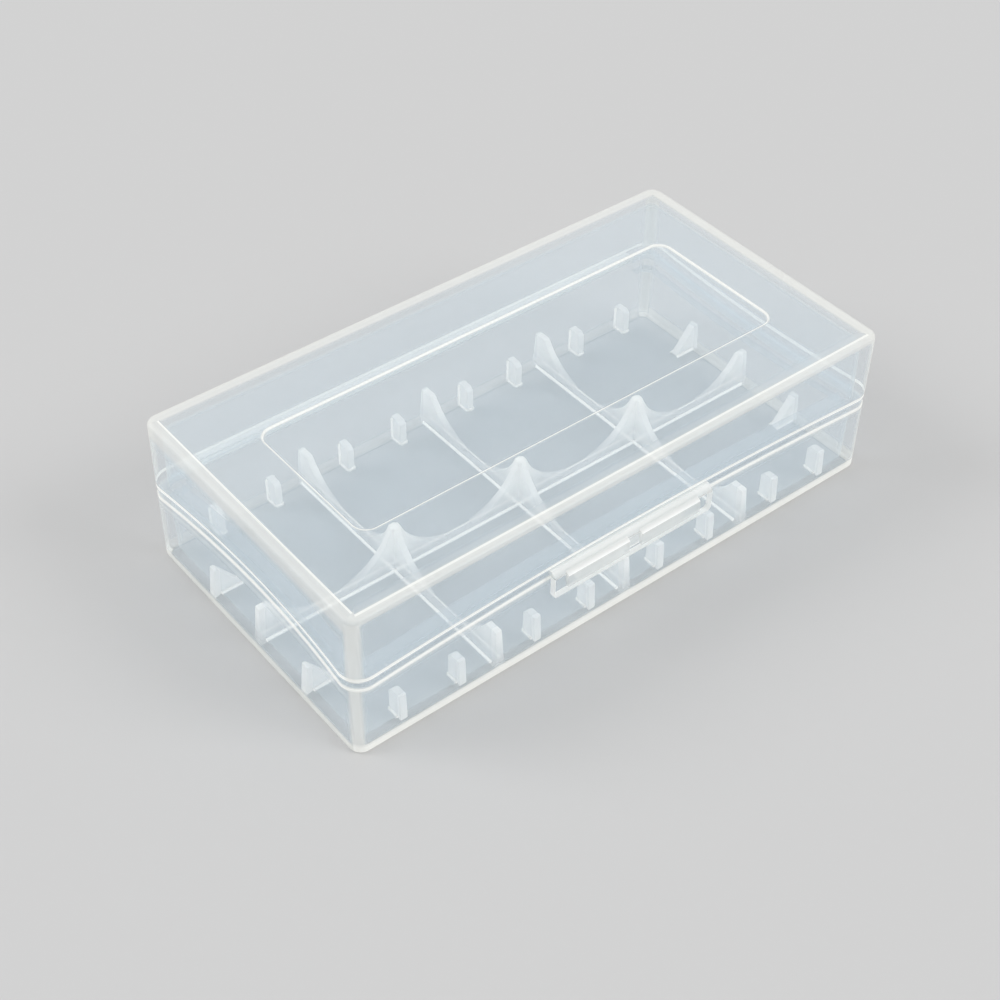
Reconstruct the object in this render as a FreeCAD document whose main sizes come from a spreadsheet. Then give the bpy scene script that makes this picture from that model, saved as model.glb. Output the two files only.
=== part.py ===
import FreeCAD, Part
import math
import os
import Sketcher

# Hinged clamshell case for two 18650 cells lengthwise or four CR123A cells crosswise, moulded in one
# shot of polypropylene: a tray and a lid joined at the back by a living hinge, and a latch flap at the front.
# Millimetres. X is the length, the latch is on -Y, Z is up. The origin is the middle of the underside.

doc = FreeCAD.newDocument("battery_case")

# ---------------------------------------------------------------- driving dimensions
DIMENSIONS = [
    # outside, measured at the parting line, where the draft of both halves makes the case widest
    ("length", 77.0),
    ("depth", 40.4),
    ("height", 20.4),
    ("rim_level", 10.35),
    ("seam_gap", 0.65),
    ("draft_inset", 0.26),
    ("corner_radius", 1.5),
    ("rim_corner_radius", 2.5),
    ("edge_round", 0.45),
    ("seam_round", 0.22),
    ("inside_round", 0.3),
    # how far each wall sinks inward at mid-length, at the parting line
    ("front_bow", 1.1),
    ("left_bow", 1.0),
    ("right_bow", 0.8),
    # walls
    ("wall", 1.25),
    ("floor_thickness", 1.1),
    ("roof_thickness", 1.15),
    ("inner_radius", 0.9),
    ("rim_inner_radius", 1.4),
    ("lip_corner_radius", 1.3),
    # lip that centres the lid on the tray
    ("lip_thickness", 1.0),
    ("lip_rise", 1.75),
    ("lip_drop", 1.15),
    ("lip_clearance", 0.15),
    ("lip_relief", 0.05),
    # cell cradle: heights are above the floor
    ("end_margin", 1.3),
    ("side_margin", 1.6),
    ("rib_thickness", 1.2),
    ("peak_rise", 6.5),
    ("bay_rise", 0.3),
    ("wing_rise", 5.0),
    ("rib_root", 0.3),
    # stops on the long walls and fins on the end walls
    ("stop_width", 1.25),
    ("stop_reach", 1.7),
    ("stop_rise", 3.4),
    ("stop_round", 0.5),
    ("stop_spacing", 8.0),
    ("fin_thickness", 1.2),
    ("fin_reach", 2.89),
    ("fin_rise", 4.1),
    # label recess in the lid
    ("label_length", 60.0),
    ("label_width", 20.0),
    ("label_depth", 0.25),
    ("label_radius", 1.8),
    ("label_offset", 0.4),
    # living hinge
    ("hinge_margin", 4.1),
    ("hinge_film", 0.35),
    ("film_gap", 0.12),
    # latch: depths are from the front wall at mid-length, heights from the tray's rim
    ("latch_width", 23.6),
    ("latch_proud", 1.25),
    ("latch_clearance", 0.5),
    ("latch_root_depth", 0.8),
    ("latch_root_gap", 0.25),
    ("latch_overlap", 0.5),
    ("latch_drop", 2.65),
    ("latch_round", 0.5),
    ("pad_proud", 0.4),
    ("pad_slope", 0.65),
    ("pad_width", 8.9),
    ("pad_gap", 2.2),
    ("pad_offset", -0.5),
    ("pad_step", 0.1),
    ("pad_drop", 1.15),
    ("catch_width", 16.0),
    ("catch_drop", 2.15),
    ("catch_height", 0.9),
    ("catch_proud", 0.65),
    ("catch_root_depth", 0.3),
    ("catch_clearance", 0.15),
]

sheet = doc.addObject("Spreadsheet::Sheet", "sizes")
for row, (alias, value) in enumerate(DIMENSIONS, start=1):
    sheet.set("A%d" % row, alias)
    sheet.set("B%d" % row, str(value))
    sheet.setAlias("B%d" % row, alias)
doc.recompute()


class Size:
    """A length that knows both its number and the sheet expression that gives it."""

    def __init__(self, value, text):
        self.value = value
        self.text = text

    def _join(self, other, sign, value):
        return Size(value, "(%s %s %s)" % (self.text, sign, size(other).text))

    def __add__(self, other):
        return self._join(other, "+", self.value + size(other).value)

    def __sub__(self, other):
        return self._join(other, "-", self.value - size(other).value)

    def __mul__(self, other):
        return self._join(other, "*", self.value * size(other).value)

    def __truediv__(self, other):
        return self._join(other, "/", self.value / size(other).value)

    def __neg__(self):
        return Size(-self.value, "(0 - %s)" % self.text)


def size(number):
    """The number as a Size, unless it is one already."""
    return number if isinstance(number, Size) else Size(number, repr(float(number)))


dim = {alias: Size(float(sheet.get(alias)), "sizes.%s" % alias) for alias, _ in DIMENSIONS}
NONE = size(0)

half_x = dim["length"] / 2
half_y = dim["depth"] / 2
lid_edge = dim["rim_level"] + dim["seam_gap"]
roof_level = dim["height"] - dim["roof_thickness"]
hinge_level = dim["rim_level"] + dim["seam_gap"] / 2
inner_x = half_x - dim["draft_inset"] - dim["wall"]
inner_y = half_y - dim["draft_inset"] - dim["wall"]
bows = {
    "front": dim["front_bow"],
    "right": dim["right_bow"],
    "back": NONE,
    "left": dim["left_bow"],
}
straight = {side: NONE for side in bows}


# ---------------------------------------------------------------- sketch helpers
def new_body(label):
    body = doc.addObject("PartDesign::Body", label)
    body.Label = label
    return body


def origin_plane(body, role):
    return [f for f in body.Origin.OriginFeatures if f.Role == role][0]


def sketch_on(body, name, plane, level=NONE):
    """A sketch on one of the body's origin planes, moved along the plane's normal by level."""
    sketch = body.newObject("Sketcher::SketchObject", name)
    sketch.AttachmentSupport = [(origin_plane(body, plane), "")]
    sketch.MapMode = "FlatFace"
    if level is not NONE:
        sketch.AttachmentOffset.Base.z = level.value
        sketch.setExpression(".AttachmentOffset.Base.z", level.text)
    return sketch


def bind(sketch, kind, *args):
    """Adds a dimensional constraint whose last argument is a Size, and ties it to the sheet."""
    where, wanted = args[:-1], args[-1]
    index = sketch.addConstraint(Sketcher.Constraint(kind, *where, wanted.value))
    sketch.setExpression("Constraints[%d]" % index, wanted.text)


def place(sketch, geometry, point, x, y):
    """Fixes a point of the geometry at (x, y) from the sketch origin."""
    bind(sketch, "DistanceX", -1, 1, geometry, point, x)
    bind(sketch, "DistanceY", -1, 1, geometry, point, y)


def contour(sketch, corners, arcs=None):
    """A closed outline through corners, each an (x, y) pair of Sizes; a plain number as x is only where
    the corner starts out, and the solver finds it. arcs gives, for the corner that a scooped edge starts
    from, the (x, y, radius) of the circle that the edge follows, with the edge below the circle's centre."""
    arcs = arcs or {}
    count = len(corners)
    first = sketch.GeometryCount
    points = [FreeCAD.Vector(x.value if isinstance(x, Size) else x, y.value, 0) for x, y in corners]
    starts, ends = {}, {}
    for k in range(count):
        here, there = points[k], points[(k + 1) % count]
        starts[k], ends[k] = 1, 2
        if k in arcs:
            hub_x, hub_y, radius = arcs[k]
            hub = FreeCAD.Vector(hub_x.value, hub_y.value, 0)
            turn = [math.atan2(point.y - hub.y, point.x - hub.x) for point in (here, there)]
            circle = Part.Circle(hub, FreeCAD.Vector(0, 0, 1), radius.value)
            sketch.addGeometry(Part.ArcOfCircle(circle, min(turn), max(turn)), False)
            if turn[0] > turn[1]:
                starts[k], ends[k] = 2, 1
        else:
            sketch.addGeometry(Part.LineSegment(here, there), False)
    for k in range(count):
        after = (k + 1) % count
        joint = Sketcher.Constraint("Coincident", first + k, ends[k], first + after, starts[after])
        sketch.addConstraint(joint)
    for k, (x, y) in enumerate(corners):
        if isinstance(x, Size):
            bind(sketch, "DistanceX", -1, 1, first + k, starts[k], x)
        bind(sketch, "DistanceY", -1, 1, first + k, starts[k], y)
    for k, (hub_x, hub_y, radius) in arcs.items():
        if all(isinstance(corners[n % count][0], Size) for n in (k, k + 1)):
            bind(sketch, "Radius", first + k, radius)
        else:
            place(sketch, first + k, 3, hub_x, hub_y)
    return sketch


def outline(body, name, level, reach_x, reach_y, radius, sink):
    """A rounded rectangle round the Z axis at a level. Each side sinks inward at its middle by
    sink[side], as one arc tangent to both corners, and is straight where that sink is nothing."""
    sketch = sketch_on(body, name, "XY_Plane", level)
    centre_x, centre_y = reach_x - radius, reach_y - radius
    sides = [
        ("front", (0, -1), centre_x, reach_y),
        ("right", (1, 0), centre_y, reach_x),
        ("back", (0, 1), centre_x, reach_y),
        ("left", (-1, 0), centre_y, reach_x),
    ]
    corners = [(-1, -1), (1, -1), (1, 1), (-1, 1)]
    centres = [FreeCAD.Vector(sx * centre_x.value, sy * centre_y.value, 0) for sx, sy in corners]
    side_arcs = []
    for side, normal, span, reach in sides:
        bow = sink[side]
        out = FreeCAD.Vector(normal[0], normal[1], 0)
        if bow.value:
            arc_radius = (span * span + bow * bow) / (bow * 2) - radius
            hub = out * (reach - bow + arc_radius).value
            side_arcs.append((out, arc_radius, hub))
        else:
            side_arcs.append((out, None, None))

    def touch(corner, side):
        out, arc_radius, hub = side_arcs[side]
        toward = out if hub is None else (hub - centres[corner]).normalize()
        return centres[corner] + toward * radius.value

    def angle(point, hub):
        return math.atan2(point.y - hub.y, point.x - hub.x)

    for k in range(4):
        start, end = touch(k, k), touch((k + 1) % 4, k)
        out, arc_radius, hub = side_arcs[k]
        if hub is None:
            sketch.addGeometry(Part.LineSegment(start, end), False)
        else:
            circle = Part.Circle(hub, FreeCAD.Vector(0, 0, 1), arc_radius.value)
            a, b = angle(end, hub), angle(start, hub)
            sketch.addGeometry(Part.ArcOfCircle(circle, a, b if b > a else b + 2 * math.pi), False)
    for k in range(4):
        corner = (k + 1) % 4
        hub = centres[corner]
        circle = Part.Circle(hub, FreeCAD.Vector(0, 0, 1), radius.value)
        a, b = angle(touch(corner, k), hub), angle(touch(corner, corner), hub)
        sketch.addGeometry(Part.ArcOfCircle(circle, a, b if b > a else b + 2 * math.pi), False)
    for k in range(4):
        out, arc_radius, hub = side_arcs[k]
        first, last = (1, 2) if hub is None else (2, 1)
        sketch.addConstraint(Sketcher.Constraint("Tangent", k, last, 4 + k, 1))
        sketch.addConstraint(Sketcher.Constraint("Tangent", 4 + (k + 3) % 4, 2, k, first))
        if hub is not None:
            bind(sketch, "Radius", k, arc_radius)
    for k in range(4):
        sx, sy = corners[(k + 1) % 4]
        place(sketch, 4 + k, 3, centre_x * sx, centre_y * sy)
        bind(sketch, "Radius", 4 + k, radius)
    return sketch


def loft(body, kind, name, sections):
    feature = body.newObject(kind, name)
    feature.Profile = sections[0]
    feature.Sections = sections[1:]
    feature.Ruled = True
    doc.recompute()
    return feature


def extrude(body, kind, name, sketch, length, midplane=False, reverse=False):
    feature = body.newObject(kind, name)
    feature.Profile = sketch
    feature.Length = length.value
    feature.setExpression("Length", length.text)
    feature.Midplane = midplane
    feature.Reversed = reverse
    doc.recompute()
    return feature


def spread(body, name, sketch, length, occurrences):
    """A row of evenly spaced copies along the sketch's normal, the last one length away from the first."""
    pattern = body.newObject("PartDesign::LinearPattern", name)
    pattern.Direction = (sketch, ["N_Axis"])
    pattern.Length = length.value
    pattern.setExpression("Length", length.text)
    pattern.Occurrences = occurrences
    return pattern


def seated(label, body, against):
    """The body less what it would share with its neighbour, so that the two meet face to face."""
    cut = doc.addObject("Part::Cut", label)
    cut.Base = body
    cut.Tool = against
    cut.Label = label
    doc.recompute()
    return cut


# ---------------------------------------------------------------- shells
def softened(edge, toward, radius):
    """Level and inset of the three rings that round an edge off in two bands, from the edge inward.
    toward is +1 where the rest of the solid lies above the edge and -1 where it lies below."""
    band = 1 - math.sqrt(0.5)
    return [(edge + radius * (toward * share), radius * (1 - mirror)) for share, mirror in
            ((0, 0), (band, 1 - band), (1, 1))]


def shell(label, plate, rim, inner_plate, toward):
    """One half of the case: a solid lofted from its flat plate to the bowed rim, hollowed by a second
    loft that follows it one wall further in. toward is +1 where the rim is above the plate."""
    body = new_body(label)
    plate_x, plate_y = half_x - dim["draft_inset"], half_y - dim["draft_inset"]
    rings = []
    for level, inset in softened(plate, toward, dim["edge_round"]):
        rings.append((level, plate_x - inset, plate_y - inset, dim["corner_radius"] - inset, straight))
    for level, inset in reversed(softened(rim, -toward, dim["seam_round"])):
        rings.append((level, half_x - inset, half_y - inset, dim["rim_corner_radius"] - inset, bows))
    form = [outline(body, "%s_ring_%d" % (label, k), *ring) for k, ring in enumerate(rings, start=1)]
    loft(body, "PartDesign::AdditiveLoft", label + "_form", form)
    rings = []
    for level, inset in softened(inner_plate, toward, dim["inside_round"]):
        reach_x, reach_y = plate_x - dim["wall"] - inset, plate_y - dim["wall"] - inset
        rings.append((level, reach_x, reach_y, dim["inner_radius"] - inset, straight))
    reach_x, reach_y = half_x - dim["wall"], half_y - dim["wall"]
    rings.append((rim, reach_x, reach_y, dim["rim_inner_radius"], bows))
    hollow = [outline(body, "%s_hollow_%d" % (label, k), *ring) for k, ring in enumerate(rings, start=1)]
    loft(body, "PartDesign::SubtractiveLoft", label + "_cavity", hollow)
    return body


# Tray: the lower half.
tray = shell("base_tray", NONE, dim["rim_level"], dim["floor_thickness"], 1)

lip_top = dim["rim_level"] + dim["lip_rise"]
lip_base = dim["rim_level"] - dim["lip_drop"]


# Lip: a wall inside the rim of the front and the ends. Its foot is moulded to the wall, its top stands
# inside the lid. It stops on either side of the hinge.
def lip_plan(name, level, inset):
    radius = dim["rim_inner_radius"]
    return outline(tray, name, level, half_x - inset, half_y - inset, radius, bows)


extrude(
    tray,
    "PartDesign::Pad",
    "lip_foot_band",
    lip_plan("lip_foot_plan", lip_base, dim["wall"] / 2),
    dim["lip_drop"],
)
lip_outer = dim["wall"] + dim["lip_clearance"]
extrude(
    tray,
    "PartDesign::Pad",
    "lip_band",
    lip_plan("lip_plan", dim["rim_level"], lip_outer),
    dim["lip_rise"],
)
lip_hollow = outline(
    tray,
    "lip_hollow_plan",
    lip_top,
    half_x - lip_outer - dim["lip_thickness"],
    half_y - lip_outer - dim["lip_thickness"],
    dim["lip_corner_radius"],
    bows,
)
extrude(tray, "PartDesign::Pocket", "lip_hollow", lip_hollow, lip_top - lip_base)
hinge_relief = sketch_on(tray, "hinge_relief_plan", "XY_Plane", lip_top)
relief_back = half_y - dim["wall"] + dim["lip_relief"]
relief_front = half_y - lip_outer - dim["lip_thickness"] * 2
half_hinge = half_x - dim["hinge_margin"]
contour(
    hinge_relief,
    [
        (-half_hinge, relief_front),
        (half_hinge, relief_front),
        (half_hinge, relief_back),
        (-half_hinge, relief_back),
    ],
)
extrude(tray, "PartDesign::Pocket", "hinge_relief", hinge_relief, lip_top - lip_base)

# Stops: two short upright ribs to each crosswise bay, on both long walls, that keep the cells' ends off
# the walls. One is drawn, then repeated along the wall and mirrored across.
bay_x = (half_x - dim["end_margin"]) / 2
bay_y = half_y - dim["side_margin"]
root_x = inner_x + dim["rib_root"]
root_y = inner_y + dim["rib_root"]
root_level = dim["floor_thickness"] - dim["rib_root"]
stop_tip = inner_y - dim["stop_reach"]
stop_level = dim["floor_thickness"] + dim["stop_rise"]
stop_round = dim["stop_round"]
first_stop = -(bay_x * 1.5 + dim["stop_spacing"] / 2)
stop_side = sketch_on(tray, "stop_side", "YZ_Plane", first_stop)
contour(
    stop_side,
    [
        (-root_y, root_level),
        (-stop_tip, root_level),
        (-stop_tip, stop_level - stop_round),
        (-(stop_tip + stop_round), stop_level),
        (-root_y, stop_level),
    ],
)
stop = extrude(tray, "PartDesign::Pad", "stop", stop_side, dim["stop_width"], midplane=True)

stops = tray.newObject("PartDesign::MultiTransform", "stops")
stops.Originals = [stop]
pair = spread(tray, "stop_pair", stop_side, dim["stop_spacing"], 2)
row = spread(tray, "stop_row", stop_side, bay_x * 3, 4)
across = tray.newObject("PartDesign::Mirrored", "stops_across")
across.MirrorPlane = (origin_plane(tray, "XZ_Plane"), [""])
stops.Transformations = [pair, row, across]
tray.Tip = stops
doc.recompute()

# Fins: a triangular gusset on each end wall in line with each lengthwise cell.
fin_tip = inner_x - dim["fin_reach"]
fin_side = sketch_on(tray, "fin_side", "XZ_Plane", bay_y / 2)
for side in (-1, 1):
    contour(
        fin_side,
        [
            (root_x * side, root_level),
            (fin_tip * side, root_level),
            (fin_tip * side, dim["floor_thickness"]),
            (root_x * side, dim["floor_thickness"] + dim["fin_rise"]),
        ],
    )
fins = extrude(tray, "PartDesign::Pad", "fins", fin_side, dim["fin_thickness"], midplane=True)
fins_across = tray.newObject("PartDesign::Mirrored", "fins_across")
fins_across.Originals = [fins]
fins_across.MirrorPlane = (origin_plane(tray, "XZ_Plane"), [""])
tray.Tip = fins_across
doc.recompute()

# Catch: the bead on the front wall that the latch flap snaps under.
front_wall = half_y - dim["front_bow"]
catch_level = dim["rim_level"] - dim["catch_drop"]
catch_root = front_wall - dim["catch_root_depth"]
catch_reach = front_wall + dim["catch_proud"]
catch_side = sketch_on(tray, "catch_side", "YZ_Plane")
contour(
    catch_side,
    [
        (-catch_root, catch_level),
        (-catch_reach, catch_level),
        (-catch_root, catch_level + dim["catch_height"] * 2),
    ],
)
extrude(tray, "PartDesign::Pad", "catch", catch_side, dim["catch_width"], midplane=True)

# ---------------------------------------------------------------- cell cradle
# Ribs that cross at right angles. Cells scoop them both ways: each scoop is an arc that is lowest in
# the middle of a bay and rises to a peak of the rib's own thickness where two ribs cross.
cradle = new_body("cradle_ribs")
half_rib = dim["rib_thickness"] / 2
peak_level = dim["floor_thickness"] + dim["peak_rise"]
wing_level = dim["floor_thickness"] + dim["wing_rise"]
bay_level = dim["floor_thickness"] + dim["bay_rise"]
rise = dim["peak_rise"] - dim["bay_rise"]


def scooped(sketch, bays, pitch, root):
    """Side of a rib that crosses an even number of bays, from wall to wall. Each scoop is the circle
    through the edges of two peaks that is lowest at bay_level, midway between them."""
    reach = pitch / 2 - half_rib
    radius = (reach * reach + rise * rise) / (rise * 2)
    centre = bay_level + radius
    wing_reach = math.sqrt(radius.value**2 - (centre - wing_level).value ** 2)
    hubs = [pitch * (k - (bays - 1) / 2) for k in range(bays)]
    corners = [
        (-root, root_level),
        (root, root_level),
        (root, wing_level),
        (hubs[-1].value + wing_reach, wing_level),
    ]
    arcs = {}
    for k in reversed(range(bays)):
        arcs[len(corners) - 1] = (hubs[k], centre, radius)
        if k:
            corners.append((hubs[k] - reach, peak_level))
            corners.append((hubs[k - 1] + reach, peak_level))
    corners.append((hubs[0].value - wing_reach, wing_level))
    corners.append((-root, wing_level))
    return contour(sketch, corners, arcs)


long_side = scooped(sketch_on(cradle, "long_rib_side", "XZ_Plane"), 4, bay_x, root_x)
extrude(cradle, "PartDesign::Pad", "long_rib", long_side, dim["rib_thickness"], midplane=True)
cross_side = scooped(sketch_on(cradle, "cross_rib_side", "YZ_Plane", -bay_x), 2, bay_y, root_y)
cross = extrude(cradle, "PartDesign::Pad", "cross_rib", cross_side, dim["rib_thickness"], midplane=True)
cross_row = spread(cradle, "cross_ribs", cross_side, bay_x * 2, 3)
cross_row.Originals = [cross]
cradle.Tip = cross_row
doc.recompute()

cell_cradle = seated("cell_cradle", cradle, tray)

# ---------------------------------------------------------------- lid
lid = shell("lid_shell", dim["height"], lid_edge, roof_level, -1)
label_plan = outline(
    lid,
    "label_plan",
    dim["height"],
    dim["label_length"] / 2,
    dim["label_width"] / 2,
    dim["label_radius"],
    straight,
)
label_plan.AttachmentOffset.Base.x = dim["label_offset"].value
label_plan.setExpression(".AttachmentOffset.Base.x", dim["label_offset"].text)
extrude(lid, "PartDesign::Pocket", "label_recess", label_plan, dim["label_depth"])

# ---------------------------------------------------------------- living hinge
# A thin film curls out from the tray's rim to the lid's edge. Each half is a quarter ring with a tail
# that roots it in its own wall; they meet at hinge_level, where the film folds.
def film_half(label, up, neighbour):
    """up is -1 for the tray's half, below the fold, and +1 for the lid's."""
    body = new_body(label + "_strip")
    side = sketch_on(body, label + "_side", "YZ_Plane")
    inner = dim["seam_gap"] / 2
    outer = inner + dim["hinge_film"]
    tail = half_y - dim["wall"] / 2
    gap = dim["film_gap"] / 2
    hub = FreeCAD.Vector(half_y.value, hinge_level.value, 0)
    quarter = math.pi / 2

    def ring(radius):
        near = math.asin(gap.value / radius.value)
        span = (near, quarter) if up > 0 else (-quarter, -near)
        circle = Part.Circle(hub, FreeCAD.Vector(0, 0, 1), radius.value)
        return Part.ArcOfCircle(circle, *span)

    def line(x1, y1, x2, y2):
        return Part.LineSegment(FreeCAD.Vector(x1, y1, 0), FreeCAD.Vector(x2, y2, 0))

    far_level, near_level = hinge_level + outer * up, hinge_level + inner * up
    fold_level = hinge_level + gap * up
    fold_x = [math.sqrt(r.value**2 - gap.value**2) + half_y.value for r in (inner, outer)]
    side.addGeometry(ring(outer), False)
    side.addGeometry(ring(inner), False)
    side.addGeometry(line(fold_x[0], fold_level.value, fold_x[1], fold_level.value), False)
    side.addGeometry(line(half_y.value, far_level.value, tail.value, far_level.value), False)
    side.addGeometry(line(tail.value, far_level.value, tail.value, near_level.value), False)
    side.addGeometry(line(tail.value, near_level.value, half_y.value, near_level.value), False)
    at_wall, at_fold = (2, 1) if up > 0 else (1, 2)
    for joint in (
        (0, at_fold, 2, 2),
        (1, at_fold, 2, 1),
        (0, at_wall, 3, 1),
        (3, 2, 4, 1),
        (4, 2, 5, 1),
        (5, 2, 1, at_wall),
    ):
        side.addConstraint(Sketcher.Constraint("Coincident", *joint))
    place(side, 0, 3, half_y, hinge_level)
    place(side, 1, 3, half_y, hinge_level)
    place(side, 3, 1, half_y, far_level)
    place(side, 5, 2, half_y, near_level)
    place(side, 4, 1, tail, far_level)
    place(side, 4, 2, tail, near_level)
    bind(side, "DistanceY", -1, 1, 2, 1, fold_level)
    bind(side, "DistanceY", -1, 1, 2, 2, fold_level)
    extrude(body, "PartDesign::Pad", label + "_film", side, half_hinge * 2, midplane=True)
    return seated(label, body, neighbour)


hinge_base = film_half("hinge_film_base", -1, tray)
hinge_lid = film_half("hinge_film_lid", 1, lid)

# ---------------------------------------------------------------- latch
# A flap that hangs from the lid's front edge over the tray's wall, with two thumb pads and, behind, the
# groove that snaps over the catch.
latch_face = front_wall + dim["latch_proud"]
latch_back = front_wall + dim["latch_clearance"]
latch_root = front_wall - dim["latch_root_depth"]
latch_root_level = dim["rim_level"] + dim["latch_root_gap"]
latch_top = lid_edge + dim["latch_overlap"]
latch_foot = dim["rim_level"] - dim["latch_drop"]
pad_face = latch_face + dim["pad_proud"]
pad_foot = dim["rim_level"] - dim["pad_drop"]
pad_top = latch_top - dim["pad_step"]
pad_shoulder = pad_top - dim["pad_slope"]
pad_start = dim["pad_offset"] - dim["pad_gap"] / 2 - dim["pad_width"]
flap = new_body("latch_flap")
flap_side = sketch_on(flap, "flap_side", "YZ_Plane")
contour(
    flap_side,
    [
        (-latch_face, latch_foot),
        (-latch_back, latch_foot),
        (-latch_back, latch_root_level),
        (-latch_root, latch_root_level),
        (-latch_root, latch_top),
        (-latch_face, latch_top),
    ],
)
plate = extrude(flap, "PartDesign::Pad", "flap_plate", flap_side, dim["latch_width"], midplane=True)
corners = []
for number, edge in enumerate(plate.Shape.Edges, start=1):
    middle = edge.CenterOfMass
    at_foot = abs(middle.z - latch_foot.value) < 1e-3
    if at_foot and abs(abs(middle.x) - dim["latch_width"].value / 2) < 1e-3:
        corners.append("Edge%d" % number)
rounded = flap.newObject("PartDesign::Fillet", "flap_corners")
rounded.Base = (plate, corners)
rounded.Radius = dim["latch_round"].value
rounded.setExpression("Radius", dim["latch_round"].text)
doc.recompute()
pad_root = (latch_face + latch_back) / 2
pad_side = sketch_on(flap, "thumb_pad_side", "YZ_Plane", pad_start)
contour(
    pad_side,
    [
        (-pad_root, pad_foot),
        (-pad_root, pad_top),
        (-latch_face, pad_top),
        (-pad_face, pad_shoulder),
        (-pad_face, pad_foot),
    ],
)
pad = extrude(flap, "PartDesign::Pad", "thumb_pad", pad_side, dim["pad_width"])
pads = spread(flap, "thumb_pads", pad_side, dim["pad_width"] + dim["pad_gap"], 2)
pads.Originals = [pad]
flap.Tip = pads
doc.recompute()
clear = dim["catch_clearance"]
groove_side = sketch_on(flap, "catch_groove_side", "YZ_Plane")
groove_foot = catch_level - clear
groove_top = catch_level + dim["catch_height"] + clear
groove_mouth = (latch_back + latch_root) / 2
contour(
    groove_side,
    [
        (-groove_mouth, groove_foot),
        (-groove_mouth, groove_top),
        (-(catch_reach + clear), groove_top),
        (-(catch_reach + clear), groove_foot),
    ],
)
groove_length = dim["catch_width"] + clear * 4
extrude(flap, "PartDesign::Pocket", "catch_groove", groove_side, groove_length, midplane=True)
latch = seated("latch", flap, lid)

# ---------------------------------------------------------------- check and write
nodes = [tray, cell_cradle, hinge_base, lid, hinge_lid, latch]
failed = [o.Name for o in doc.Objects if "Invalid" in o.State or "Error" in o.State]
for node in nodes:
    if node.Shape.isNull() or not node.Shape.isValid() or len(node.Shape.Solids) != 1:
        failed.append(node.Label)
if failed:
    raise RuntimeError("failed objects: " + ", ".join(failed))
os.makedirs("parts", exist_ok=True)
for node in nodes:
    node.Shape.exportStep("parts/%s.step" % node.Label)
    print(node.Label, round(node.Shape.Volume, 1), "mm3")
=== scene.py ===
import bmesh
import bpy
import math
import numpy as np
from mathutils import Matrix, Vector


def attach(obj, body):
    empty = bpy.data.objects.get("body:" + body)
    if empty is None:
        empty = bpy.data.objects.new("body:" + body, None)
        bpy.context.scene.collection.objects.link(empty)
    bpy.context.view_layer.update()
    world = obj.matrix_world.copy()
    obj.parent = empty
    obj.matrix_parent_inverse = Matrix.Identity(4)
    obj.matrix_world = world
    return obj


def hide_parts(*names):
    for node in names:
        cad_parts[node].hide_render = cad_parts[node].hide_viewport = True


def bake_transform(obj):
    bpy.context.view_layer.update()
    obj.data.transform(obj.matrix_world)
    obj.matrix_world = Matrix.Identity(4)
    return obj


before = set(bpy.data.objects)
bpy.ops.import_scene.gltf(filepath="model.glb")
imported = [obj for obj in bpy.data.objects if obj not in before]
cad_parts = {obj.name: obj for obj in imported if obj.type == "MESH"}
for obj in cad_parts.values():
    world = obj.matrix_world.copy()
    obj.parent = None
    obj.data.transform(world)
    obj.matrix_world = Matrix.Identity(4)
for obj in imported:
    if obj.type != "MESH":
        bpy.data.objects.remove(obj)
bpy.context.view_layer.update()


# ------------------------------------------------------------------ the plastic
# Natural polypropylene: unpigmented, milky, see-through in thin walls and nearly white wherever
# light meets an edge, a rib or a corner and has more plastic to cross. Moulded glossy, never painted.
# Its denser parts are also given a painted glow, a white emission that brightens them however they are lit.
class Value:
    """A shader value. Arithmetic on it adds Math nodes to the material being built."""

    tree = None

    def __init__(self, socket):
        self.socket = socket

    @classmethod
    def node(cls, kind, settings=None, output=0, **sockets):
        """Adds one node: its settings first, then each named socket (or _0, _1 by place) from a number or a
        link."""
        made = cls.tree.nodes.new("ShaderNode" + kind)
        for key, value in (settings or {}).items():
            setattr(made, key, value)
        for key, value in sockets.items():
            socket = made.inputs[int(key[1:]) if key[0] == "_" else key.replace("_", " ")]
            if isinstance(value, Value):
                cls.tree.links.new(value.socket, socket)
            else:
                socket.default_value = value
        return cls(made.outputs[output]) if made.outputs else None

    def math(self, operation, *others, clamp=False):
        """One Math node on this value and up to two others."""
        sockets = {"_%d" % k: v for k, v in enumerate((self, *others))}
        return Value.node("Math", {"operation": operation, "use_clamp": clamp}, **sockets)

    def __add__(self, other):
        return self.math("ADD", other)

    def __sub__(self, other):
        return self.math("SUBTRACT", other)

    def __mul__(self, other):
        return self.math("MULTIPLY", other)

    def __radd__(self, other):
        return self + other

    def __rmul__(self, other):
        return self * other

    def __rsub__(self, other):
        return Value.node("Math", {"operation": "SUBTRACT"}, _0=other, _1=self)

    def between(self, low, high):
        """0 up to low, 1 from high on, and a smooth ramp between them."""
        sockets = {"Value": self, "From_Min": low, "From_Max": high}
        return Value.node("MapRange", {"interpolation_type": "SMOOTHSTEP"}, **sockets)

    def tint(self, first, second):
        """The colour first where this value is 0 and second where it is 1."""
        return Value.node("Mix", {"data_type": "RGBA"}, 2, _0=self, _6=first, _7=second)


def noise(scale, detail=2.0, stretch=(1, 1, 1)):
    """Cloudy noise from 0 to 1 in object space: scale is in cycles per metre, and stretch multiplies it along
    each axis."""
    where = Value.node("TexCoord", output=3)
    where = Value.node("VectorMath", {"operation": "MULTIPLY"}, _0=where, _1=stretch)
    return Value.node("TexNoise", Vector=where, Scale=scale, Detail=detail)


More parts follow.
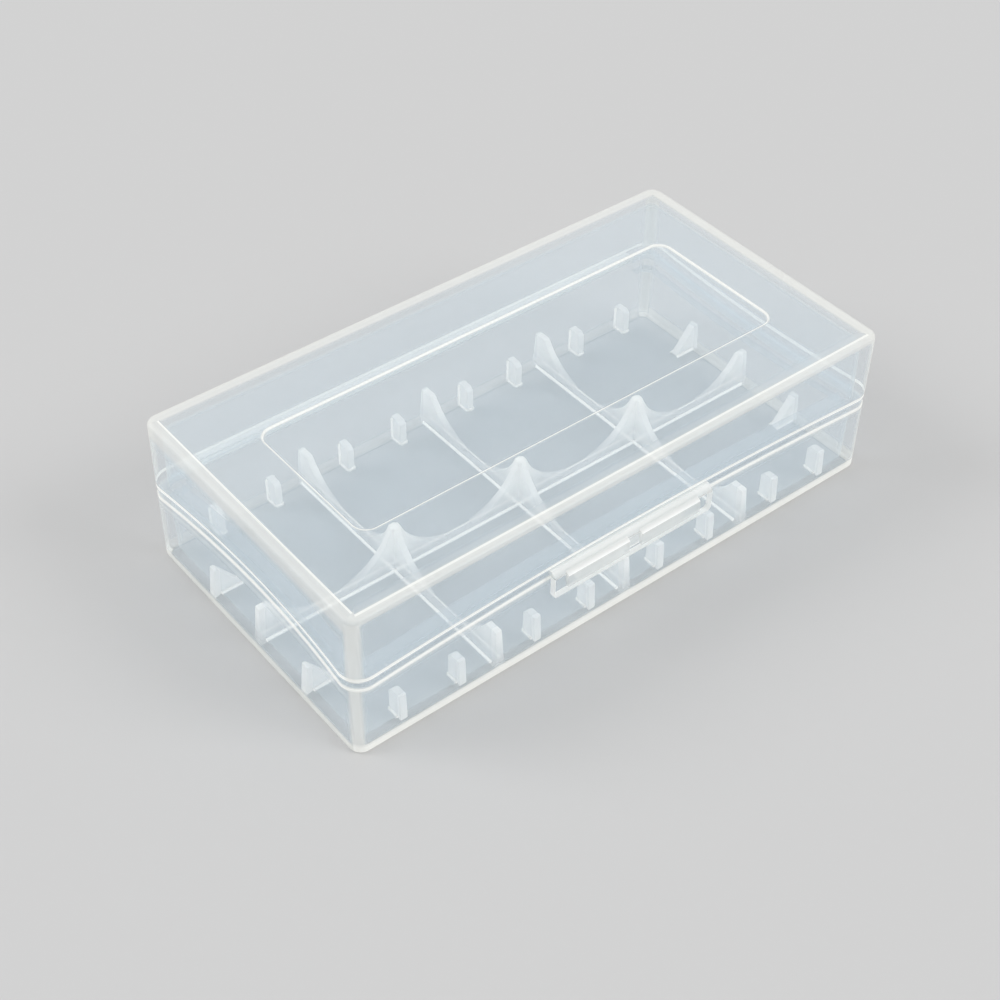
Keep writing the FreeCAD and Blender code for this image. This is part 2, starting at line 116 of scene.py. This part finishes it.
def plastic(name, thin, thick, haze, white, wander=0.5, rise=None, painted_glow_from=0.4):
    """Polypropylene whose cover is thin plus (thick - thin) times the mesh's "dense" attribute, with a little
    cloud and flow added, and whose colour goes from haze, the blue-grey of a thin milky wall, to white, the
    warm white of an edge. What it doesn't cover shows through. What it covers throws light back, but lets
    the share wander of it pass where it is thin and a sixth where it is dense. Plastic denser than its glow
    threshold (the last argument) has a painted glow: a white emission, stronger the denser it is, that
    brightens it however the light falls. With rise, a pair of heights in metres, the cover grows from a third
    to all of itself between the two."""
    made = bpy.data.materials.new(name)
    made.use_nodes = True
    Value.tree = made.node_tree
    Value.tree.nodes.clear()
    dense = Value.node("Attribute", {"attribute_name": "dense"}, 2)
    cloud = noise(70, 3)
    flow = noise(260, 2, (0.25, 1, 1))
    cover = thin + (thick - thin) * dense.math("MINIMUM", 1.0)
    cover = cover + (cloud - 0.5) * 0.06 + (flow - 0.5) * 0.01
    if rise:
        height = Value.node("SeparateXYZ", output=2, Vector=Value.node("TexCoord", output=3))
        cover = cover * (0.35 + height.between(*rise) * 0.65)
    edge = dense.between(0.0, 0.6)
    rough = 0.22 + cloud * 0.12 + flow * 0.04
    bump = Value.node("Bump", Height=flow * 0.5, Strength=0.12, Distance=0.00004)
    gloss = Value.node(
        "BsdfPrincipled",
        Base_Color=edge.tint(haze, white),
        Roughness=rough,
        IOR=1.49,
        Normal=bump,
        Specular_IOR_Level=0.9,
        # painted glow: white emission where the plastic is dense, brightening it whatever the light
        Emission_Color=dense.between(painted_glow_from, 1.6).tint((0, 0, 0, 1), white),
        Emission_Strength=0.28,
    )
    wall_glow, edge_glow = (Value.node("BsdfTranslucent", Color=colour) for colour in (haze, white))
    glow = Value.node("MixShader", _0=edge, _1=wall_glow, _2=edge_glow)
    passing = dense.between(0.0, 1.0) * (0.16 - wander) + wander
    solid = Value.node("MixShader", _0=passing, _1=gloss, _2=glow)
    clear = Value.node("BsdfTransparent", Color=(1, 1, 1, 1))
    surface = Value.node("MixShader", _0=cover.math("MAXIMUM", 0.05), _1=clear, _2=solid)
    Value.node("OutputMaterial", Surface=surface)
    return made


# ------------------------------------------------------------------ lid
# Upper half of the case, injection-moulded in polypropylene: flat top with a shallow recess for a label,
# drafted walls that sink a little inward at mid-length, and a flat rim that meets the tray's.

# Levels above the table, and half lengths, half depths and corner radii of the outlines, in millimetres.
TOP, ROOF, LID_RIM = 20.4, 19.25, 11.0
OUTER_EDGE = (38.5, 20.2, 2.5)
OUTER_FACE = (38.24, 19.94, 1.5)
MOUTH_EDGE = (37.25, 18.95, 1.4)
INNER_FACE = (36.99, 18.69, 0.9)
MIDDLE = (36.0, 17.7, 0.5)
# How far the front, right, back and left walls sink, and half the length of the hinge.
SINK = (1.1, 0.8, 0.0, 1.0)
HINGE = 34.4
# Points that an outline has along its front, right, back and left side with the corner that follows, and
# from the end of each of those to the middle of its corner.
SIDE_POINTS = (52, 34, 56, 34)
HALF_CORNER = 5


def ring(level, reach_x, reach_y, radius, sink=(0, 0, 0, 0), shift=0.0):
    """One closed outline, in millimetres and counter-clockwise from above: a rounded rectangle whose front,
    right, back and left sides sink inward at mid-length by sink, each as one arc tangent to both its corners.
    A side of half length s that sinks b is an arc of radius (s*s + b*b) / 2b less the corner's radius."""
    centre = np.array([reach_x - radius, reach_y - radius])
    signs = np.array([(-1, -1), (1, -1), (1, 1), (-1, 1)])
    outward = np.array([(0, -1), (1, 0), (0, 1), (-1, 0)])
    reach = (reach_y, reach_x, reach_y, reach_x)
    straight = 1e-5
    bows = [max(b, straight) for b in sink]
    arcs = [(centre[k % 2] ** 2 + bows[k] ** 2) / (2 * bows[k]) - radius for k in range(4)]
    hubs = [outward[k] * (reach[k] - bows[k] + arcs[k]) for k in range(4)]
    beside_corner = 0.35
    rows = []
    for k in range(4):
        near, far = (signs[n % 4] * centre for n in (k, k + 1))
        ends = [c + radius * (hubs[k] - c) / np.linalg.norm(hubs[k] - c) for c in (near, far)]
        length = np.linalg.norm(ends[1] - ends[0])
        steps_along = (41, 23, 41, 23)[k]
        middle = np.linspace(0, 1, steps_along)[1:-1]
        if k == 2:
            limit = min(HINGE, ends[0][0] - 0.5)  # the hinge's ends fall on points of the outline
            x = np.concatenate([[limit], np.linspace(limit, -limit, steps_along), [-limit]])
            middle = (ends[0][0] - x) / length
        edge = beside_corner / length
        share = np.concatenate([[0, edge], middle, [1 - edge, 1]])
        for hub, size, start, stop, steps in (
            (hubs[k], arcs[k], ends[0], ends[1], share),
            (far, radius, ends[1], hubs[(k + 1) % 4], np.linspace(0, 1, 11)[1:-1]),
        ):
            a, b = (math.atan2(p[1] - hub[1], p[0] - hub[0]) for p in (start, stop))
            angle = a + ((b - a + math.pi) % (2 * math.pi) - math.pi) * steps
            rows.append(hub + size * np.stack([np.cos(angle), np.sin(angle)], 1))
    flat = np.concatenate(rows)
    return np.column_stack([flat[:, 0] + shift, flat[:, 1], np.full(len(flat), level)])


def drawn(size, inset):
    """Half lengths and corner radius of an outline drawn in by inset, with corners never quite sharp."""
    return size[0] - inset, size[1] - inset, max(size[2] - inset, 0.05)


def cut(lower, upper, level):
    """The outline at a level of the straight-ruled wall between two outlines."""
    share = (level - lower[0, 2]) / (upper[0, 2] - lower[0, 2])
    return lower + (upper - lower) * share


def eased(edge, toward, radius, steps=4):
    """Level and inset of the outlines that round an edge off, from the edge inward: a quarter circle."""
    turn = np.linspace(0, math.pi / 2, steps + 1)
    return [(edge + toward * radius * (1 - math.cos(t)), radius * (1 - math.sin(t))) for t in turn]


def shown(name, points, faces, body, material, dense=None, ease=0.0, border=0.0, least=1.0, bright=1.0):
    """A mesh object in metres from points in millimetres, riding on a body. dense holds a value for each
    point. Without it, sharp edges are eased by ease, and all of the piece is as dense as bright says, a
    number or a function of the height in millimetres. With a border, each flat face over least square
    millimetres thins from that at its outline to nothing within a border so wide."""
    mesh = bpy.data.meshes.new(name)
    mesh.from_pydata((np.asarray(points) * 0.001).tolist(), [], faces)
    if dense is not None:
        mesh.attributes.new("dense", "FLOAT", "POINT").data.foreach_set("value", dense)
    work = bmesh.new()
    work.from_mesh(mesh)
    bmesh.ops.remove_doubles(work, verts=work.verts, dist=2e-6)
    for face in work.faces:
        face.smooth = True
    if dense is None:
        sharp = [e for e in work.edges if e.calc_face_angle(0) > math.radians(35)]
        flat = list(work.faces)
        if ease:
            rounded = bmesh.ops.bevel(
                work, geom=sharp, offset=ease * 0.001, segments=2, profile=0.5, affect="EDGES")
            rounded = set(rounded["faces"])
            flat = [f for f in work.faces if f not in rounded]
        large = [f for f in flat if f.calc_area() > least * 1e-6] if border else []
        for face in work.faces:
            face.select = False
        if large:
            bmesh.ops.inset_individual(
                work, faces=large, thickness=border * 0.001, use_even_offset=True)
        for face in large:
            face.select = True
    work.to_mesh(mesh)
    work.free()
    if dense is None:
        count, loops = len(mesh.polygons), len(mesh.loops)
        chosen, sizes, corner = np.zeros(count, bool), np.zeros(count, int), np.zeros(loops, int)
        mesh.polygons.foreach_get("select", chosen)
        mesh.polygons.foreach_get("loop_total", sizes)
        mesh.loops.foreach_get("vertex_index", corner)
        place = np.empty(len(mesh.vertices) * 3)
        mesh.vertices.foreach_get("co", place)
        amount = bright(place[2::3] * 1000) if callable(bright) else np.full(len(mesh.vertices), bright)
        amount[corner[np.repeat(chosen, sizes)]] = 0
        mesh.attributes.new("dense", "FLOAT", "POINT").data.foreach_set("value", amount)
    mesh.materials.append(material)
    made = bpy.data.objects.new(name, mesh)
    bpy.context.scene.collection.objects.link(made)
    made.modifiers.new("normals", "WEIGHTED_NORMAL").keep_sharp = True
    if body:
        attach(made, body)
    return made


def skin(name, rows, first, last, glow, body, material):
    """A closed shell from rows of (outline, dense, share of the corner glow), with a pole at each end. The
    corner glow is 1 about a corner's middle, and falls to 0 over the last part, fade, of the glow millimetres
    to each side of it."""
    outlines = np.array([row[0] for row in rows])
    count, across = outlines.shape[:2]
    corners = np.cumsum(SIDE_POINTS) - HALF_CORNER
    step = np.linalg.norm(np.diff(outlines, axis=1, append=outlines[:, :1]), axis=2)
    travel = np.cumsum(step, axis=1) - step
    total = travel[:, -1:] + step[:, -1:]
    away = np.min([np.abs((travel - travel[:, k : k + 1] + total / 2) % total - total / 2)
                   for k in corners], axis=0)
    fade = 0.35
    corner = np.clip((glow - away) / fade, 0, 1)
    dense = np.array([np.maximum(row[1], row[2] * corner[k]) for k, row in enumerate(rows)])
    points = np.concatenate([outlines.reshape(-1, 3), [first, last]])
    here = np.arange(across)
    after = (here + 1) % across
    start = (np.arange(count - 1) * across)[:, None]
    quads = np.stack([start + here, start + across + here, start + across + after, start + after], 2)
    top, foot = count * across, count * across + 1
    end = (count - 1) * across
    first_fan = np.stack([np.full(across, top), here, after], 1)
    last_fan = np.stack([np.full(across, foot), end + after, end + here], 1)
    faces = quads.reshape(-1, 4).tolist() + first_fan.tolist() + last_fan.tolist()
    amount = np.concatenate([dense.ravel(), [dense[0, 0], dense[-1, 0]]])
    return shown(name, points, faces, body, material, amount)


wall_plastic = plastic("wall_plastic", 0.20, 0.90, (0.83, 0.92, 0.98, 1), (0.98, 0.98, 0.94, 1))
label = [ring(z, 30 + i, 10 + i, 1.8 + i, shift=0.4) for z, i in
         ((20.15, -0.4), (20.15, -0.08), (20.19, 0.0), (20.36, 0.0), (TOP, 0.08), (TOP, 0.35))]
plate = [ring(z, *drawn(OUTER_FACE, i)) for z, i in eased(TOP, -1, 0.45)]
rim = [ring(z, *drawn(OUTER_EDGE, i), SINK) for z, i in eased(LID_RIM, 1, 0.22, 3)[::-1]]
mouth = ring(LID_RIM, *MOUTH_EDGE, SINK)
roof = [ring(z, *drawn(INNER_FACE, i)) for z, i in eased(ROOF, -1, 0.3, 3)]

# How dense the plastic looks, from the label outwards, down the walls and back up inside. Near the top's
# edge the left side, the front and the other two sides differ; lower down only the ends do.
on_ends = np.abs(plate[0][:, 0]) > 37.7
on_left, on_front = plate[0][:, 0] < -37.7, plate[0][:, 1] < -19.4
on_back = plate[0][:, 1] > 19.4
# The label recess's step is dense, white and carries the painted glow: a painted highlight line round the
# label's edge.
rows = [(row, d, 0) for row, d in zip(label, (0, 0.3, 0.9, 1, 0.9, 0))]
rows += [(ring(TOP, *drawn(OUTER_FACE, i)), np.where(on_front, front, np.where(on_left, left, far)), 0)
         for i, left, front, far in (
             (2.6, 0, 0.05, 0), (2.0, 0, 0.12, 0.05), (1.75, 0, 0.18, 0.25), (1.5, 0.02, 0.2, 0.5),
             (1.38, 0.15, 0.2, 0.58), (1.32, 0.9, 0.2, 0.6), (1.15, 0.9, 0.3, 0.6),
             (1.05, 0.55, 0.85, 0.6), (0.85, 0.52, 0.95, 0.6), (0.72, 0.52, 0.65, 0.62))]
rows += [(row, d, 0) for row, d in zip(plate, (0.6, 0.6, 0.58, 0.56, 0.54))]
# Just above the rim, the rows at 11.82 and 11.47 mm are dense, white and glowing, past 1 at 11.47 where only
# the painted glow still grows: a painted bright line along the lid's lower edge.
rows += [(cut(plate[-1], rim[0], z), d + e * on_ends, 0.7) for z, d, e in (
    (19.75, 0.4, 0.15), (19.5, 0.05, 0.5), (18.9, 0.0, 0.48), (18.3, 0.0, 0.2), (17.2, 0.0, 0.0),
    (12.3, 0, 0), (11.98, 0.12, 0.1), (11.82, 0.95, 0.25), (11.47, 1.2, 0.25), (11.35, 0.2, 0),
    (11.27, 0, 0))]
rows += [(row, 0.1, 0) for row in rim] + [(mouth, 0.1, 0)]
rows += [(cut(mouth, roof[-1], z), d, 0.3) for z, d in ((11.1, 0.1), (11.4, 0.0), (18.7, 0.0))]
rows += [(row, 0.35, 0) for row in roof[::-1]] + [(ring(ROOF, *MIDDLE), 0, 0)]
lid = skin("lid", rows, (0.4, 0, 20.15), (0, 0, ROOF), 1.08, "lid", wall_plastic)
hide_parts("lid_shell")

# ------------------------------------------------------------------ tray
# Lower half, of the same shot of plastic: floor, drafted walls, and inside the rim a thin upright lip that
# the lid's mouth slips over. The lip runs round the front and the ends and stops short of the hinge.
FLOOR, TRAY_RIM, LIP_FOOT = 1.1, 10.35, 9.2
floor_rings = [ring(z, *drawn(INNER_FACE, i)) for z, i in eased(FLOOR, 1, 0.3, 3)]
inner_rim = ring(TRAY_RIM, *MOUTH_EDGE, SINK)
wall_foot = cut(floor_rings[-1], inner_rim, LIP_FOOT)
lip = [ring(z, OUTER_EDGE[0] - i, OUTER_EDGE[1] - i, r, SINK) for z, i, r in (
    (LIP_FOOT, 2.4, 1.3), (9.25, 2.4, 1.3), (11.9, 2.4, 1.3), (12.05, 2.33, 1.3), (12.1, 2.2, 1.3),
    (12.1, 1.6, 1.4), (12.05, 1.47, 1.4), (11.9, 1.4, 1.4), (10.4, 1.4, 1.4), (TRAY_RIM, 1.4, 1.4))]
columns = np.arange(len(inner_rim))
hinge = (columns > 0) & (np.abs(inner_rim[:, 0]) < HINGE + 1e-6) & (inner_rim[:, 1] > 18)
edge = np.flatnonzero(hinge)
hinge[[edge[0], edge[-1]]] = False
for k, row in enumerate(lip):
    row[hinge] = (wall_foot if k < 2 else inner_rim)[hinge]
rim = [ring(z, *drawn(OUTER_EDGE, i), SINK) for z, i in eased(TRAY_RIM, -1, 0.22, 3)]
plate = [ring(z, *drawn(OUTER_FACE, i)) for z, i in eased(0.0, 1, 0.45)]

# How dense it looks, from the floor up inside, over the lip and the rim, down outside and underneath.
rows = [(ring(FLOOR, *MIDDLE), 0, 0)] + [(row, 0, 0) for row in floor_rings]
rows += [(cut(floor_rings[-1], inner_rim, 1.6), 0, 0.3), (wall_foot, 0, 0.3)]
rows += [(row, d, 0) for row, d in
         zip(lip, (0.0, -0.25, -0.25, -0.2, -0.08, -0.08, -0.2, -0.25, -0.1, 0.0))]
rows += [(ring(TRAY_RIM, OUTER_EDGE[0] - 0.32, OUTER_EDGE[1] - 0.32, 2.2, SINK), 0.05, 0)]
# The rim's rounding is dense up to 1.05, white, and with the painted glow a painted bright line along the
# tray's rim.
rows += [(row, d, 0) for row, d in zip(rim, (0.15, 0.6, 1.0, 1.05))]
rows += [(cut(plate[-1], rim[-1], z), d - e * on_ends, 0.7) for z, d, e in (
    (10.0, 0.95, 0), (9.85, 0.35, 0.1), (9.6, 0.25, 0.1), (9.3, 0.1, -0.2), (8.8, 0, -0.2), (8.5, 0, 0))]
rows += [(cut(plate[-1], rim[-1], z), d - e * np.maximum(on_back, 0.5 * on_ends), 0.7) for z, d, e in (
    (1.95, 0, 0), (1.6, 0.2, 0.2), (1.35, 0.85, 0.8), (1.0, 1, 0.6))]
rows += [(row, 1 - 0.6 * on_back - 0.35 * on_ends, 0) for row in plate[::-1]]
rows += [(ring(0.0, *drawn(OUTER_FACE, i)), d, 0) for i, d in ((0.7, 0.1), (1.5, 0))]
tray = skin("tray", rows, (0, 0, FLOOR), (0, 0, 0), 0.95, "tray", wall_plastic)
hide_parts("base_tray")


# ------------------------------------------------------------------ stops, fins and catch
# Short upright ribs moulded to the tray's walls: two to each crosswise bay on both long walls, a sloping
# gusset in line with each lengthwise cell on the end walls, and outside the bead that the latch snaps under.

# Middles of the crosswise bays and of the two lengthwise cells, and the level that ribs are drawn down to,
# just under the floor's surface.
BAYS = (-27.9, -9.3, 9.3, 27.9)
CELLS = (-9.3, 9.3)
ROOT = 1.0
STOP_HALF, FIN_HALF, CATCH_HALF = 0.5, 0.55, 8
SIDES = (-1, 1)


def prisms(name, body, material, ease, border, *runs, least=1.0, bright=1.0, lean=0.0):
    """Closed bars. Each run is (profile, axis, low, high): the profile's points in the two other axes, in
    order, carried along the axis from low to high. With lean, both ends close in by so much for each
    millimetre of height above ROOT."""
    points, faces = [], []
    for profile, axis, low, high in runs:
        profile = np.asarray(profile, float)
        count, base = len(profile), sum(map(len, points))
        rise = lean * np.maximum(profile[:, 1] - ROOT, 0)
        ends = [np.insert(profile, axis, level, axis=1) for level in (low + rise, high - rise)]
        points += ends
        here = np.arange(count)
        after = (here + 1) % count
        following = np.roll(profile, -1, axis=0)
        area = np.sum(profile[:, 0] * following[:, 1] - following[:, 0] * profile[:, 1])
        sides = np.stack([here, after, after + count, here + count], 1)
        loops = [here[::-1], here + count]
        if (area > 0) == (axis == 1):
            sides = sides[:, ::-1]
            loops = [loop[::-1] for loop in loops]
        faces += (sides + base).tolist() + [(loop + base).tolist() for loop in loops]
    return shown(name, np.concatenate(points), faces, body, material, None, ease, border, least, bright)


# The glow threshold of -0.8 gives all of this plastic the painted glow, so stops, fins, catch, fillets and
# hinge film show bright however they are lit.
rib_plastic = plastic("rib_plastic", 0.60, 0.80, (0.98, 0.99, 0.99, 1), (0.99, 0.99, 0.97, 1), 0.25,
                      painted_glow_from=-0.8)
stop = np.array([(19.15, 0.8), (18.7, 0.9), (16.99, 1.0), (16.99, 4.0), (17.49, 4.5), (18.95, 4.5)])
stop_places = [x + 0.4 for bay in BAYS for x in (bay - 4, bay + 4)]
prisms("stops", "tray", rib_plastic, 0.12, 0.0, *[
    (stop * (side, 1), 0, x - STOP_HALF, x + STOP_HALF) for side in SIDES for x in stop_places],
    bright=0.1)
fin = np.array([(37.9, 0.6), (37.0, 0.9), (34.1, 1.0), (34.1, 1.15), (37.05, 4.9), (37.5, 4.9)])
prisms("end_fins", "tray", rib_plastic, 0.12, 0.0, *[
    (fin * (side, 1), 1, y - FIN_HALF, y + FIN_HALF) for side in SIDES for y in CELLS], bright=0.2)
catch = [(-18.8, 8.2), (-19.75, 8.2), (-18.8, 10.0)]
prisms("catch", "tray", rib_plastic, 0.06, 0.15, (catch, 0, -CATCH_HALF, CATCH_HALF))


# ------------------------------------------------------------------ cell cradle
# One lengthwise and three crosswise ribs, scooped by the cells that lie on them, so that they
# rise to a four-armed peak wherever two of them cross.

# Radius and level of a cell's middle, half of a scoop's length, and the level of the ribs' flat wings.
CELL_RADIUS, CELL_LEVEL = 9.204, 10.604
SCOOP_HALF, WING = 8.026, 6.1
RIB_HALF = 0.6
CROSS_RIBS = (-18.6, 0, 18.6)


def scoops(hubs, end, drop):
    """Side of a rib with a scoop centred on each hub: its height is the cell's level less the root of radius
    squared less distance squared, and flat from the outermost scoops to both ends. All of it is lowered by
    drop, which keeps crossing ribs from having faces in one plane."""
    across = np.linspace(-8.7, 8.7, 41)
    height = CELL_LEVEL - np.sqrt(CELL_RADIUS**2 - across**2)
    limit = abs(hubs[-1]) + SCOOP_HALF
    tops = [np.stack([across + hub, height], 1)[np.abs(across + hub) <= limit] for hub in hubs]
    right = [(-end - 0.4, 0.6), (end + 0.4, 0.6), (end, WING), (limit, WING)]
    left = [(-limit, WING), (-end, WING)]
    return np.concatenate([right, np.concatenate(tops)[::-1], left]) - (0, drop)


# The cradle's ribs too: with the glow threshold at -0.8 all of them carry the painted glow, stronger higher
# up where they are denser.
cradle_plastic = plastic("cradle_plastic", 0.66, 0.86, (0.98, 0.99, 0.99, 1), (0.99, 0.99, 0.97, 1), 0.25,
                         (0.0012, 0.0055), -0.8)
lengthwise, crosswise = scoops(BAYS, 37.4, 0.0), scoops(CELLS, 19.2, 0.02)
runs = [(lengthwise, 1, -RIB_HALF, RIB_HALF)]
runs += [(crosswise, 0, x - RIB_HALF, x + RIB_HALF) for x in CROSS_RIBS]
cradle = prisms("cradle_ribs", "tray", cradle_plastic, 0.15, 0.0, *runs, lean=0.03,
                bright=lambda z: np.interp(z, (1.0, 7.6), (0.15, 0.5)))
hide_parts("cell_cradle")

# Small fillets at the roots. They start from these half widths, a little inside the ribs' and stops' sides.
FILLET_FROM, STOP_FILLET_FROM = 0.55, 0.45
FILLET_WIDTH, FILLET_HEIGHT = 0.25, 0.35


def fillet(middle, half, side):
    """Section of the small fillet where one side of an upright rib meets the floor: a triangle."""
    foot = middle + side * half
    return [(foot, ROOT), (middle + side * (half + FILLET_WIDTH), ROOT), (foot, ROOT + FILLET_HEIGHT)]


runs = [(fillet(0, FILLET_FROM, side), 0, -37.0, 37.0) for side in SIDES]
runs += [(fillet(x, FILLET_FROM, side), 1, -18.7, 18.7) for side in SIDES for x in CROSS_RIBS]
runs += [(fillet(x, STOP_FILLET_FROM, side), 1, *ends) for side in SIDES for x in stop_places
         for ends in ((-18.7, -17.0), (17.0, 18.7))]
front_fillet = np.array([(17.04, ROOT), (16.74, ROOT), (17.04, ROOT + FILLET_HEIGHT)])
runs += [(front_fillet * (end, 1), 0, x - STOP_HALF, x + STOP_HALF) for end in SIDES for x in stop_places]
wall_fillet = np.array([(STOP_FILLET_FROM, 18.4), (STOP_FILLET_FROM + FILLET_WIDTH, 18.75),
                        (STOP_FILLET_FROM, 18.75)])
runs += [(wall_fillet * (side, 1) + (x, 0), 2, ROOT, 4.3) for side in SIDES for x in stop_places]
runs += [(fillet(y, FILLET_FROM, side), 0, *ends) for side in SIDES for y in CELLS
         for ends in ((-37.0, -34.0), (34.0, 37.0))]
# The fillets are fully dense, so their painted glow is strong and the creases at the roots show as bright
# lines where they would lie in shade.
prisms("root_fillets", "tray", rib_plastic, 0.0, 0.0, *runs)

# ------------------------------------------------------------------ living hinge
# A film of the same plastic, a third of a millimetre thick, that curls out from the tray's rim and back to
# the lid's edge. On the real case it bends each time that the case is opened; here it is one fixed piece
# on neither body.
turn = np.linspace(-math.pi / 2, math.pi / 2, 15)
HINGE_LEVEL = (TRAY_RIM + LID_RIM) / 2
bend = [np.stack([OUTER_EDGE[1] + r * np.cos(turn), HINGE_LEVEL + r * np.sin(turn)], 1)
        for r in (0.672, 0.325)]
tails = [[(19.6, 11.35), (19.6, 11.0)], [(19.6, 10.35), (19.6, 10.0)]]
loop = np.concatenate([bend[0], tails[0], bend[1][::-1], tails[1]])
film = prisms("hinge_film", None, rib_plastic, 0.0, 0.0, (loop, 0, -HINGE, HINGE), bright=0.2)
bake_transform(film)
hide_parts("hinge_film_base", "hinge_film_lid")

# ------------------------------------------------------------------ latch
# A flap moulded to the lid's front edge that hangs over the tray's wall, with two thick thumb pads.
FLAP_HALF, FLAP_FRONT, FLAP_BACK, FLAP_ROUND = 11.8, -20.35, -19.6, 0.5
latch_plastic = plastic("latch_plastic", 0.10, 0.94, (0.84, 0.88, 0.88, 1), (0.99, 0.99, 0.97, 1), 0.35)
turn = np.linspace(0, math.pi / 2, 7)
foot = np.stack([11.3 + FLAP_ROUND * np.cos(turn), 8.2 - FLAP_ROUND * np.sin(turn)], 1)
flap = np.concatenate([[(FLAP_HALF, 10.76)], foot, foot[::-1] * (-1, 1), [(-FLAP_HALF, 10.76)]])
slope = [(-19.0, 10.75), (-19.0, 11.28), (FLAP_BACK, 11.42), (FLAP_FRONT, 10.78), (FLAP_FRONT, 10.75)]
# The flap's outlines and the top of its root are dense, white and glowing: painted highlights along its
# edges.
latch = prisms("latch_flap", "lid", latch_plastic, 0.08, 0.06, (flap, 1, FLAP_FRONT, FLAP_BACK),
               (slope, 0, -FLAP_HALF, FLAP_HALF), least=40,
               bright=lambda z: np.interp(z, (10.7, 10.74, 11.33, 11.42), (0.9, 0.3, 0.35, 0.95)))
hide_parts("latch")
# The pads are densest along their upper outer edge, from about 10.6 to 10.75 mm: a painted highlight there.
pad = [(-20.1, 11.05), (FLAP_FRONT, 10.85), (-20.6, 10.74), (-20.75, 10.62), (-20.75, 8.9), (-20.3, 8.9)]
prisms("thumb_pads", "lid", latch_plastic, 0.05, 0.0, (pad, 0, -10.15, -1.2), (pad, 0, 0.6, 9.5),
       bright=lambda z: np.interp(z, (10.55, 10.62, 10.75, 11.05), (0.2, 0.9, 0.85, 0.4)))

# ------------------------------------------------------------------ floor, light, camera
# A plain pale table top under an even white sky, with two broad soft suns on opposite sides. The backdrop
# that the camera sees is as bright as the lit table top, so that the two meet without a line.
SPREAD, UNDER = 60, -3e-5
floor = bpy.data.objects.new("floor", bpy.data.meshes.new("floor"))
corners = [(x * SPREAD, y * SPREAD, UNDER) for x, y in ((-1, -1), (1, -1), (1, 1), (-1, 1))]
floor.data.from_pydata(corners, [], [(0, 1, 2, 3)])
bpy.context.scene.collection.objects.link(floor)
paint = bpy.data.materials.new("floor")
paint.use_nodes = True
shader = paint.node_tree.nodes["Principled BSDF"]
shader.inputs["Base Color"].default_value = (0.62, 0.62, 0.62, 1)
shader.inputs["Roughness"].default_value = 1.0
shader.inputs["Specular IOR Level"].default_value = 0.0
floor.data.materials.append(paint)

world = bpy.data.worlds.new("studio")
world.use_nodes = True
bpy.context.scene.world = world
Value.tree = world.node_tree
Value.tree.nodes.clear()
sky = Value.node("Background", Color=(1, 1, 1, 1), Strength=0.72)
backdrop = Value.node("Background", Color=(1, 1, 1, 1), Strength=0.644)
# Outputs of Light Path: 0 is Is Camera Ray, 3 is Is Glossy Ray and 6 is Is Transmission Ray.
seen = Value.node("LightPath", output=0) + Value.node("LightPath", output=3)
seen = seen.math("ADD", Value.node("LightPath", output=6), clamp=True)
Value.node("OutputWorld", Surface=Value.node("MixShader", _0=seen, _1=sky, _2=backdrop))
for name, spot in (("window", (-0.45, 0.38, 0.45)), ("fill", (0.33, -0.48, 0.42))):
    lamp = bpy.data.lights.new(name, "SUN")
    lamp.energy, lamp.angle = 0.85, math.radians(28)
    holder = bpy.data.objects.new(name, lamp)
    bpy.context.scene.collection.objects.link(holder)
    holder.rotation_euler = Vector(spot).to_track_quat("Z", "Y").to_euler()

camera = bpy.data.cameras.new("camera")
camera.lens = 65.296
camera.sensor_width = 36
camera.clip_start, camera.clip_end = 0.01, 10
eye = bpy.data.objects.new("camera", camera)
bpy.context.scene.collection.objects.link(eye)
azimuth, elevation, roll = math.radians(-39.34), math.radians(42.951), math.radians(0.996)
level = math.cos(elevation)
back = Vector((math.sin(azimuth) * level, -math.cos(azimuth) * level, math.sin(elevation)))
right = Vector((math.cos(azimuth), math.sin(azimuth), 0))
up = back.cross(right)
side = right * math.cos(roll) + up * math.sin(roll)
top = up * math.cos(roll) - right * math.sin(roll)
aim, distance = Vector((-0.0083770, -0.0064910, 0.0105)), 0.20643
place = aim + back * distance
eye.matrix_world = Matrix([[side[k], top[k], back[k], place[k]] for k in range(3)] + [[0, 0, 0, 1]])
bpy.context.scene.camera = eye
bpy.context.scene.view_settings.view_transform = "Standard"
bpy.context.scene.cycles.transparent_max_bounces = 48
